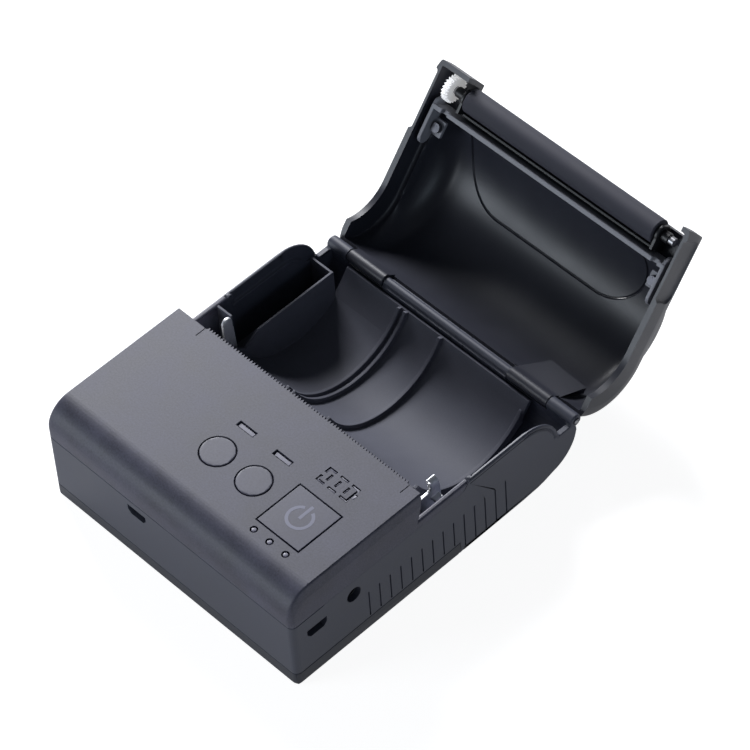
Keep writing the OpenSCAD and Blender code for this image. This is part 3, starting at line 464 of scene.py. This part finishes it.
# ---------- housing ----------
HALF, CORNER = 57.98, 2.3           # half the width, radius of the upright front corners
TOP, FILLET = 44.68, 10.0           # height of the panel, radius along its front
LEAN_X, STRIP = 56.5, 4.4           # the side strips start at this x and fall by this much
SEAM, SEAM_END = 30.5, 14           # the joint of the shells: height, rear end of its groove
BASE, BASE_END = 6.3, 73.9          # the joint of the base: height, the place where it turns down
TEAR = 59.2                         # the tear edge
RAIL_X, RAIL_Y, RAIL_TOP = 54.5, 54, 33.6   # the rails that the cover shuts on lie beyond this x and y
LOWEST, SIDE_X = 1.5, 54            # the lowest rim is below this height, its sides beyond this x
SEAM_R, BASE_R = 0.24, 0.22         # radii of the grooves

# Lists called stations hold x values, closer together where a form bends more.


def ease(t):
    t = min(max(t, 0), 1)
    return t * t * (3 - 2 * t)


def strip_drop(x):
    """How far the side strip has fallen at this x."""
    power = 2.2
    return STRIP * (max(abs(x) - LEAN_X, 0) / (HALF - LEAN_X)) ** power


def corner_inset(x, half, r):
    """How far a corner of radius r draws the front back at this x."""
    past = max(abs(x) - (half - r), 0)
    return r - math.sqrt(max(r ** 2 - past ** 2, 0))


def upper_envelope():
    """Outer form of the upper housing, whose side strips run round the front into the upright corners."""
    rings = []
    stations = [20, 40, 54, 55.7, 56.1, 56.5, 56.8, 57.05, 57.3, 57.5, 57.66, 57.8, 57.9, 57.98]
    low, shoulder_z, steps = 28, 36, 16
    level_y, shoulder_y, rear_y = 30, 62, 90
    for x in both_sides(stations):
        front, drop = corner_inset(x, HALF, CORNER), strip_drop(x)
        ring = [(x, front, low), (x, front, TOP - FILLET - 2)]
        for i in range(steps + 1):
            inset = front + (drop - front) * ease(i / steps)
            angle = math.radians(180 - 90 * i / steps)
            ring.append((x, FILLET + (FILLET - inset) * math.cos(angle),
                         TOP - FILLET + (FILLET - inset) * math.sin(angle)))
        ring += [(x, level_y, TOP - drop), (x, shoulder_y, TOP - drop), (x, shoulder_y, shoulder_z)]
        ring += [(x, rear_y, shoulder_z), (x, rear_y, low)]
        rings.append(ring)
    return loft("envelope", rings)


def around(z, rear):
    """Path round the housing at the height z, from the right rear over the front to the left rear."""
    steps = 6
    corner = [(HALF - CORNER + CORNER * math.cos(a), CORNER - CORNER * math.sin(a))
              for a in (math.pi / 2 * i / steps for i in range(steps + 1))]
    right = [(HALF, rear, z)] + [(x, y, z) for x, y in corner]
    return right + [(-x, y, z) for x, y, z in reversed(right)]


def seam_cutter():
    """The joint shows as a groove round the front only; further back the two shells sit tight."""
    return tube("seam", around(SEAM, SEAM_END), SEAM_R)


def base_cutter():
    path = [(HALF, BASE_END, 0)] + around(BASE, BASE_END) + [(-HALF, BASE_END, 0)]
    return tube("base_seam", path, BASE_R)


BUTTON_R, BUTTON_GAP = 6.0, 0.3
ROUND_BUTTONS = {"mode_button": (-2.9, 26.5), "feed_button": (14.3, 26.3)}
POWER, POWER_HALF = (35.7, 25.9), 9.5
WINDOWS = ((-2.85, 39.35), (14.25, 39.15))
WINDOW_X, WINDOW_Y = 3.8, 1.15      # half the size of a window's opening
BLADE_ENDS = (-43.9, 51.7)


def panel_cutters():
    """Flared rims for the openings in the panel, and the slits at the ends of the tear edge."""
    flare, slit_r, slit_front, slit_rear = 0.22, 0.2, 54.9, 61
    low, high = TOP - flare, TOP + 0.01
    cutters = [upright("rim", circle(x, y, BUTTON_R + BUTTON_GAP), low, high, flare)
               for x, y in ROUND_BUTTONS.values()]
    cutters.append(upright("rim", square(*POWER, POWER_HALF + BUTTON_GAP), low, high, flare * 1.4))
    cutters += [tube("slit", [(x, slit_front, TOP), (x, slit_rear, TOP)], slit_r) for x in BLADE_ENDS]
    for x, y in WINDOWS:
        opening = rectangle(x - WINDOW_X, x + WINDOW_X, y - WINDOW_Y, y + WINDOW_Y)
        cutters.append(upright("rim", opening, low, high, flare))
    return cutters


def rail_share(a, b):
    """Full rounding along the rails, whose edges lie between the heights low and high."""
    low, high = 32.9, 34.5

    def on_rail(v):
        return abs(v.x) > RAIL_X and v.y > RAIL_Y and low < v.z < high

    return on_rail(a) and on_rail(b)


def level_rails(piece):
    """Lowers what the rounding leaves above the rails, so that the cover can shut."""
    for v in piece.data.vertices:
        x, y, z = v.co / MM
        if abs(x) > RAIL_X and y + FRONT > RAIL_Y and RAIL_TOP < z < RAIL_TOP + 1:
            v.co.z = RAIL_TOP * MM


def upper_housing():
    """Upper shell with its panel; faces square to z stay plane."""
    piece = cad_copy("upper_housing", "upper_housing_moulded")
    boolean(piece, "INTERSECT", upper_envelope())
    boolean(piece, "DIFFERENCE", seam_cutter(), *panel_cutters())
    round_edges(piece, 0.75, 3, where=rail_share)
    level_rails(piece)
    stand_for(piece, "upper_housing", flat=(2,))


def main_housing_share(a, b):
    """Full rounding of the foot behind the base, about half of it on the upper rim of the sides."""
    level_y, level_z = 58.5, 33.2
    bend_y, bend_z = 80.5, 17
    foot_y, rim_part = 70, 0.55

    def on_rim(v):
        on_level = v.y > level_y and v.z > level_z
        on_bend = v.y > bend_y and v.z > bend_z
        return abs(v.x) > RAIL_X and (on_bend or on_level)

    def on_foot(v):
        return v.z < LOWEST and abs(v.x) > SIDE_X and v.y > foot_y

    return rim_part * (on_rim(a) and on_rim(b)) + (on_foot(a) and on_foot(b))


def main_housing():
    """Lower shell; its middle hinge barrel is made slimmer than in the CAD."""
    piece = cad_copy("main_housing", "main_housing_moulded")
    barrel_r, slim_r = 3.0, 1.65
    left, right = -31.15, 27.45
    slim = arc(HINGE_Y, HINGE_Z, barrel_r, -8, 188, 16) + arc(HINGE_Y, HINGE_Z, slim_r, 188, -8, 16)
    boolean(piece, "DIFFERENCE", seam_cutter(), base_cutter(), across("slim", slim, left, right))
    round_edges(piece, 1.3, 3, where=main_housing_share)
    keep_in_box(piece, "main_housing")
    stand_for(piece, "main_housing", flat=(0, 1, 2))


def bottom_share(a, b):
    """Full rounding along the lowest rim, at the sides and the front."""
    front = 3.5

    def on_rim(v):
        return v.z < LOWEST and (abs(v.x) > SIDE_X or v.y < front)

    return on_rim(a) and on_rim(b)


def bottom_cover():
    piece = cad_copy("bottom_cover", "bottom_cover_moulded")
    round_edges(piece, 1.3, 2, 60, where=bottom_share)
    boolean(piece, "DIFFERENCE", base_cutter())
    stand_for(piece, "bottom_cover")


upper_housing()
main_housing()
bottom_cover()


# ---------- buttons and lights ----------
PANEL_Z = 44.7                      # height of the CAD panel
CAP_TOP = PANEL_Z + 0.12
FOOT_GROW = 2                       # a button's foot is larger than its cap all round
FOOT_LOW, FOOT_TOP, CAP_LOW = 36, 42.3, 40
ROUND_PLAY, SQUARE_PLAY = 0.1, 0.12


def cap(node, outline, foot_outline):
    """Flush button cap with a softened rim, on the CAD button's own foot."""
    piece = cad_copy(node, node + "_moulded")
    wall_top, rim_low, rim_spread = CAP_TOP - 0.15, CAP_TOP - 0.16, -0.18
    keep = upright("keep", outline, CAP_LOW, wall_top)
    shoulder = upright("keep", outline, rim_low, CAP_TOP, rim_spread)
    foot = upright("keep", foot_outline, FOOT_LOW, FOOT_TOP)
    boolean(keep, "UNION", shoulder, foot)
    boolean(piece, "INTERSECT", keep)
    stand_for(piece, node, 50)


def caps():
    r = BUTTON_R - ROUND_PLAY
    for node, (x, y) in ROUND_BUTTONS.items():
        cap(node, circle(x, y, r), circle(x, y, r + FOOT_GROW))
    half = POWER_HALF - SQUARE_PLAY
    cap("power_button", square(*POWER, half), square(*POWER, half + FOOT_GROW))


def flat_band(name, outer, inner, z0, z1):
    """Thin raised band between two rows of points of the same length."""
    rows = ((outer, z0), (outer, z1), (inner, z1), (inner, z0))
    verts = [(x, y, z) for row, z in rows for x, y in row]
    n = len(outer)
    faces = []
    for k in range(n - 1):
        for i in range(4):
            j = (i + 1) % 4
            faces.append((i * n + k, i * n + k + 1, j * n + k + 1, j * n + k))
    faces.append((0, n, 2 * n, 3 * n))
    faces.append((n - 1, 2 * n - 1, 3 * n - 1, 4 * n - 1))
    return solid(name, verts, faces)


def power_symbol():
    """The common on and off sign: an open ring and a bar."""
    cx, cy, r, stroke, gap = POWER[0] + 0.2, POWER[1] + 0.1, 4.9, 1.15, 24
    z, height = CAP_TOP - 0.01, 0.04
    outer = arc(cx, cy, r, 90 + gap, 450 - gap, 48)
    inner = arc(cx, cy, r - stroke, 90 + gap, 450 - gap, 48)
    stem = rectangle(cx - stroke / 2, cx + stroke / 2, cy - 0.4, cy + 5.9)
    ring = flat_band("power_symbol_ring", outer, inner, z, z + height)
    bar = upright("power_symbol_bar", stem, z, z + height)
    for part in (ring, bar):
        dress(part, "button_plastic", NODE_BODY["power_button"], MATERIALS["symbol_print"])


def light(node, depth, shrink):
    """Lens or window, set back by depth and drawn in by shrink on every side."""
    piece = cad_copy(node, node + "_moulded")
    mod = piece.modifiers.new("shrink", "DISPLACE")
    mod.mid_level = 0
    mod.strength = -shrink * MM
    apply_modifiers(piece)
    piece.data.transform(Matrix.Translation(Vector((0, 0, -depth * MM))))
    stand_for(round_edges(piece, 0.08), node, 40)


caps()
power_symbol()
light("status_windows", 0.3, 0.55)
light("dot_lights", -0.4, 0.2)
light("battery_gauge", -0.02, 0.36)


# ---------- cover, drawn closed ----------
DOME_Y, DOME_Z, DOME_R = 98.7, 28.5, 29.0
DOME_FLAT, DOME_END = 45.0, 55.6    # the dome keeps its form up to the first x and ends at the second
COVER_TOP, SKIN, SIDE_IN = 44.3, 1.8, 55.8
REAR_Y, REAR_Z, REAR_R = 108.6, 25.2, 19.1
FOOT_Z, RIM = 22.9, 33.9            # lower edges of the rear and of the side walls
COVER_R = math.hypot(HINGE_Y - TEAR, PANEL_Z - HINGE_Z) - 0.4
ARCH_Y, ARCH_Z, ARCH_R = 104.8, 18.1, 15.8
PLATEN_Y, PLATEN_Z = 64.4, 38.0
SOFT = 4.5                          # width over which the dome runs into the flat part
PILL_HALF, PILL_R = 41, 18          # the inlay: half its length, radius of its ends
GROOVE_R, INLAY_GAP = 0.55, 0.12
ROLLER_ROOM, GEAR_ROOM = (4.9, -48.9, 52.8), (5.56, -52.2, -48.9)       # radius, left end, right end
KNUCKLES = ((-48.4, -31.3), (27.6, 46.1))
KNUCKLE_R, PIN_BORE = 2.4, 1.05
# Left and right end at the foot, the same at the top, then how high the two upper corners are.
PADS = ((-48.6, -31.1, -49, -30.2, 5.6, 12.2), (26.6, 46.4, 31.8, 48.7, 12, 11.2))
SLEEVES = ((-48.5, -44.1), (46.7, 49.9))
SLEEVE_R, SLEEVE_BORE = 1.95, 1.52


def soft_max(a, b):
    h = max(SOFT - abs(a - b), 0) / SOFT
    return max(a, b) + h * h * h * SOFT / 6


def base_radius(angle, inset):
    """Distance from the dome's centre to the cover's plain outline."""
    c, s = math.cos(angle), math.sin(angle)
    if s > 0:
        flat = (COVER_TOP - inset - DOME_Z) / s
        if DOME_Y + flat * c <= REAR_Y:
            return flat
    dy, dz = REAR_Y - DOME_Y, REAR_Z - DOME_Z
    along = dy * c + dz * s
    r = REAR_R - inset
    reach = along + math.sqrt(max(along * along - dy * dy - dz * dz + r * r, 0))
    if DOME_Z + reach * s >= REAR_Z:
        return reach
    return (REAR_Y + r - DOME_Y) / c


def dome_radius(x, inset):
    """Radius of the dome at this x; it is 0 beyond the dome's end."""
    past = abs(x) - DOME_FLAT
    centre = COVER_TOP - DOME_Z
    if past <= 0:
        return DOME_R - inset
    reach = DOME_END - DOME_FLAT - inset
    if past >= reach:
        return 0
    return centre + (DOME_R - centre - inset) * math.sqrt(1 - (past / reach) ** 2)


def front_y(radius, z):
    """The front lip follows a circle round the hinge."""
    return HINGE_Y - math.sqrt(radius ** 2 - (z - HINGE_Z) ** 2)


def roof(x, inset, z_low, a_end=-11):
    """The profile from the front lip over the dome to the rear foot."""
    radius = COVER_R - inset
    top = COVER_TOP - inset
    lip_steps, steps, y_start = 4, 56, 64.5
    heights = [z_low + (top - z_low) * i / lip_steps for i in range(lip_steps + 1)]
    points = [(front_y(radius, z), z) for z in heights]
    a_start = math.degrees(math.atan2(top - DOME_Z, y_start - DOME_Y))
    for i in range(steps + 1):
        angle = math.radians(a_start + (a_end - a_start) * i / steps)
        r = soft_max(base_radius(angle, inset), dome_radius(x, inset))
        points.append((DOME_Y + r * math.cos(angle), DOME_Z + r * math.sin(angle)))
    return points


def roof_inside(x, extra):
    """The profile of the inner face; extra draws it in further, towards the corners of the side walls."""
    z_low, a_end, wall_top = 30, -20, 38
    lean = extra * 0.4
    points = roof(x, SKIN, z_low, a_end)
    return [(y + (lean if y < DOME_Y else -lean), z - extra if z > wall_top else z) for y, z in points]


def cover_outside():
    rings = []
    stations = [8, 16, 24, 32, 38, 42, 44, 45, 46, 47, 48, 49, 50, 51, 52, 52.8, 53.5, 54.1, 54.6,
                55, 55.3, 55.5, 55.6, 56, 56.4, 56.8, 57.1, 57.4, 57.6, 57.8, 57.9, HALF]
    start = math.degrees(math.asin((FOOT_Z - ARCH_Z) / ARCH_R))
    for x in both_sides(stations):
        profile = roof(x, strip_drop(x), RIM)
        under = [(profile[-1][0], FOOT_Z)] + arc(ARCH_Y, ARCH_Z, ARCH_R, start, 90, 10)
        rings.append([(x, y, z) for y, z in profile + under])
    return loft("outside", rings)


def cover_inside():
    rings = []
    stations = [8, 16, 24, 32, 38, 42, 44, 45, 46, 47, 48, 49, 50, 50.8, 51.5, 52.1, 52.6,
                53, 53.3, 53.5, 53.7, 53.8, 54.2, 54.6, 54.9, 55.2, 55.45, 55.65, 55.76, SIDE_IN]
    corner_r, low = 1.2, 5
    for x in both_sides(stations):
        profile = roof_inside(x, corner_inset(x, SIDE_IN, corner_r))
        rings.append([(x, y, z) for y, z in profile + [(profile[-1][0], low), (profile[0][0], low)]])
    return loft("inside", rings)


def pill(grow):
    """Outline of the inlay, made larger by grow."""
    cy = TEAR + 5.4 + PILL_R
    right = arc(PILL_HALF - PILL_R, cy, PILL_R + grow, -90, 90, 32)
    return right + [(-x, 2 * cy - y) for x, y in right]


def groove_path(skin, outline, n=120):
    """Points on the underside of the skin below an outline, evenly spaced."""
    tree = BVHTree.FromObject(skin, bpy.context.evaluated_depsgraph_get())
    below = 36
    loop = outline + outline[:1]
    lengths = [math.dist(a, b) for a, b in zip(loop, loop[1:])]
    total, path = sum(lengths), []
    for i in range(n):
        rest = total * i / n
        k = 0
        while rest > lengths[k]:
            rest -= lengths[k]
            k += 1
        t = rest / lengths[k]
        x = loop[k][0] + (loop[k + 1][0] - loop[k][0]) * t
        y = loop[k][1] + (loop[k + 1][1] - loop[k][1]) * t
        hit = tree.ray_cast(at(x, y, below), Vector((0, 0, 1)))[0]
        path.append((x, y, hit.z / MM))
    return path


def recess_cutter(side):
    """Finger scoop in the side wall, with a soft slope all round."""
    slope = ((58.6, 0.5), (57.95, 0.25), (57.3, -0.15), (56.95, -0.5), (56.8, -1.0))
    low, high, front_end, rear_end = RIM - 2, RIM + 8.9, TEAR + 1.4, TEAR + 24.8
    rear_r, front_r = 4, 3
    rings = []
    for x, grow in slope:
        top, front, rear = high + grow, front_end - grow, rear_end + grow
        outline = [(front, low), (rear - 0.6, low)]
        outline += arc(rear - rear_r, top - rear_r, rear_r, -30, 90, 8)
        outline += arc(front + front_r, top - front_r, front_r, 90, 180, 5)
        rings.append([(side * x, y, z) for y, z in outline])
    return loft("recess", rings)


def knuckle_pad(x_low0, x_low1, x_high0, x_high1, high0, high1):
    """Flat pad across the bend behind a hinge knuckle; high0 and high1 are the heights of its two ends."""
    lean = math.tan(math.radians(24))
    foot_y, foot_z = HINGE_Y - 1.5, FOOT_Z - 0.8
    rear_y, thick, bend_z = REAR_Y + REAR_R - 0.9, 2.4, 26
    front = [(x_low0, foot_y, foot_z), (x_low1, foot_y, foot_z),
             (x_high1, foot_y - high1 * lean, foot_z + high1),
             (x_high0, foot_y - high0 * lean, foot_z + high0)]
    back = [(x, rear_y if z < bend_z else y + thick, z) for x, y, z in front]
    return loft("pad", [front, back])


def add_knuckle(skin, x0, x1):
    """Hinge barrel with its web to the foot, and its bore."""
    front, rear, high_rear = HINGE_Y - 2.3, HINGE_Y - 0.1, HINGE_Y - 0.8
    web = [(front, HINGE_Z), (rear, HINGE_Z), (high_rear, FOOT_Z + 1), (front, FOOT_Z + 1)]
    boolean(skin, "UNION", rod("knuckle", KNUCKLE_R, x0, x1, HINGE_Y, HINGE_Z, edge=0.25),
            across("web", web, x0 + 0.05, x1 - 0.05))
    boolean(skin, "DIFFERENCE", rod("bore", PIN_BORE, x0 - 1, x1 + 1, HINGE_Y, HINGE_Z))


def cover():
    """The shell and its inlay, cut from one skin, with a groove between them on the inside."""
    skin = boolean(cover_outside(), "DIFFERENCE", cover_inside())
    below, over = 38, 70
    lip = rectangle(-43.8, 54, 55, TEAR + 3.3)
    boolean(skin, "DIFFERENCE", rod("roller_room", *ROLLER_ROOM, PLATEN_Y, PLATEN_Z),
            rod("gear_room", *GEAR_ROOM, PLATEN_Y, PLATEN_Z))
    path = groove_path(skin, pill(0.05))
    inlay = link_object("cover_inlay_moulded", skin.data.copy())
    boolean(inlay, "INTERSECT", upright("pill", pill(0), below, over))
    boolean(skin, "DIFFERENCE", upright("pill", pill(INLAY_GAP), below, over))
    for part in (skin, inlay):
        boolean(part, "DIFFERENCE", tube("groove", path, GROOVE_R, 10, closed=True))
    boolean(skin, "DIFFERENCE", upright("lip", lip, 31, 48), recess_cutter(-1), recess_cutter(1))
    boolean(skin, "UNION", *[knuckle_pad(*pad) for pad in PADS])
    for x0, x1 in KNUCKLES:
        add_knuckle(skin, x0, x1)
    skin.name = "cover_shell_moulded"
    for part, node in ((skin, "cover_shell"), (inlay, "cover_inlay")):
        part.data.transform(OPENED)
        stand_for(part, node, 38)


def bearings():
    """Small bearing sleeves between the holder's arms and the side plates."""
    parts = []
    for x0, x1 in SLEEVES:
        part = rod("sleeve", SLEEVE_R, x0, x1, PLATEN_Y, PLATEN_Z, OPENED, edge=0.3)
        boolean(part, "DIFFERENCE", rod("bore", SLEEVE_BORE, x0 - 1, x1 + 1, PLATEN_Y, PLATEN_Z, OPENED))
        parts.append(part)
    piece = boolean(parts[0], "UNION", parts[1])
    piece.name = "platen_bearings_turned"
    stand_for(piece, "platen_bearings", 40)


cover()
bearings()


# ---------- camera ----------
AZIMUTH, ELEVATION, ROLL = 49.238, 50.136, -4.654       # degrees
DISTANCE, TO_RIGHT, UPWARDS = 1.424373, 0.016582, 0.011522      # metres, from the point aimed at
FOCAL_PIXELS, IMAGE_PIXELS, SENSOR = 4350.852, 750, 36


def camera():
    """The camera fitted to the photo's straight edges."""
    az, el, roll = (math.radians(a) for a in (AZIMUTH, ELEVATION, ROLL))
    back = Vector((math.sin(az) * math.cos(el), -math.cos(az) * math.cos(el), math.sin(el)))
    right0 = Vector((0, 0, 1)).cross(back).normalized()
    up0 = back.cross(right0)
    right = math.cos(roll) * right0 + math.sin(roll) * up0
    up = -math.sin(roll) * right0 + math.cos(roll) * up0
    aim = at(0, 70, 29.3)
    place = aim + back * DISTANCE + right * TO_RIGHT + up * UPWARDS
    data = bpy.data.cameras.new("camera")
    data.sensor_width = SENSOR
    data.lens = FOCAL_PIXELS / IMAGE_PIXELS * SENSOR
    data.clip_start, data.clip_end = 0.1, 20
    cam = bpy.data.objects.new("camera", data)
    bpy.context.scene.collection.objects.link(cam)
    cam.matrix_world = Matrix((
        (right.x, up.x, back.x, place.x), (right.y, up.y, back.y, place.y),
        (right.z, up.z, back.z, place.z), (0, 0, 0, 1)))
    bpy.context.scene.camera = cam


camera()


# ---------- stage, in metres and watts ----------
FLOOR_SIZE = 8
FLOOR_SEEN, FLOOR_LIGHT = 0.92, 0.39        # the floor's own light for the camera and for other rays
SKY_LIGHT = 0.07


def area_light(name, place, target, size, power, colour):
    data = bpy.data.lights.new(name, "AREA")
    data.energy = power
    data.size = size
    data.color = colour
    obj = bpy.data.objects.new(name, data)
    bpy.context.scene.collection.objects.link(obj)
    obj.location = place
    obj.rotation_euler = (Vector(target) - Vector(place)).to_track_quat("-Z", "Y").to_euler()


def floor():
    """White table: mostly light of its own, with some matt white that takes the shadow."""
    bpy.ops.mesh.primitive_plane_add(size=FLOOR_SIZE, location=(0, 0, 0))
    obj = bpy.context.object
    obj.name = "floor"
    mat, nt, bsdf = new_material("floor_white")
    bsdf.inputs["Base Color"].default_value = (0.42, 0.42, 0.43, 1)
    bsdf.inputs["Roughness"].default_value = 0.9
    bsdf.inputs["Specular IOR Level"].default_value = 0.1
    seen = add(nt, "ShaderNodeLightPath").outputs["Is Camera Ray"]
    glow = add(nt, "ShaderNodeEmission", Color=(1, 1, 1, 1))
    nt.links.new(mapped(nt, seen, FLOOR_LIGHT, FLOOR_SEEN), glow.inputs["Strength"])
    both = add(nt, "ShaderNodeAddShader")
    nt.links.new(bsdf.outputs[0], both.inputs[0])
    nt.links.new(glow.outputs[0], both.inputs[1])
    nt.links.new(both.outputs[0], nt.nodes["Material Output"].inputs["Surface"])
    obj.data.materials.append(mat)


def sky():
    world = bpy.data.worlds.new("studio")
    bpy.context.scene.world = world
    world.use_nodes = True
    background = world.node_tree.nodes["Background"]
    background.inputs["Color"].default_value = (0.8, 0.88, 1, 1)
    background.inputs["Strength"].default_value = SKY_LIGHT


floor()
sky()
area_light("key", (-1.1, 0.62, 0.74), (0, 0, 0.03), 0.6, 34, (0.96, 0.97, 1))
area_light("front", (-0.6, -1.05, 0.3), (0, 0.1, 0.03), 0.55, 6.2, (0.85, 0.92, 1))
area_light("side", (1.1, -0.25, 0.22), (0, 0, 0.02), 0.5, 1.3, (0.72, 0.86, 1))

bpy.context.scene.view_settings.view_transform = "Standard"
